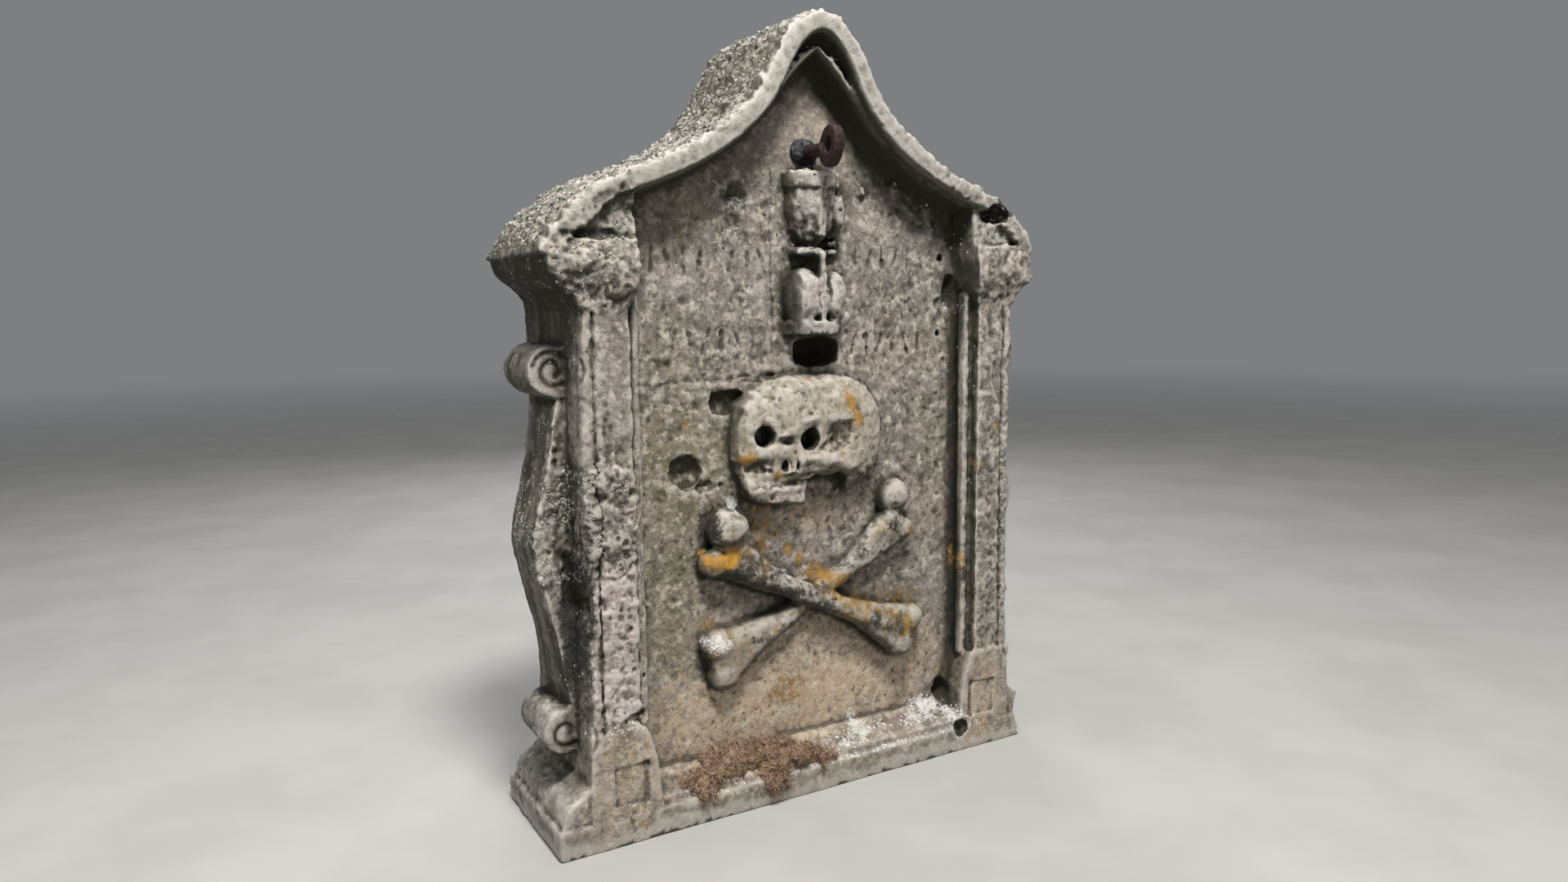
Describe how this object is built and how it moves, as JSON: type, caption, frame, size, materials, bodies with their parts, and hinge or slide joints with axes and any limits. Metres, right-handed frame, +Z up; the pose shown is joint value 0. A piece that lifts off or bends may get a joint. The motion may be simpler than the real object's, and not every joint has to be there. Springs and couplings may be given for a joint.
{
  "type": "headstone",
  "caption": "Weathered sandstone headstone with an ogee cornice, pilasters and scroll consoles, and a sunk panel carved with an hourglass, a skull and crossed bones under an iron eye.",
  "frame": {"origin": "middle of the underside, where the stone is cut flat at the ground", "axes": "+Z up, +X to the viewer's right, +Y away from the carved front, which faces -Y"},
  "size_m": [0.886, 0.2909, 1.2],
  "materials": {
    "sandstone": "weathered, lichen-covered",
    "lead": "dull",
    "wrought_iron": "rusted",
    "lichen": "crumbly crust on the stone",
    "dry_moss": "dry, fibrous"
  },
  "bodies": {
    "root": {"headstone": "sandstone", "lead_plug": "lead", "iron_eye": "wrought_iron"}
  },
  "joints": []
}
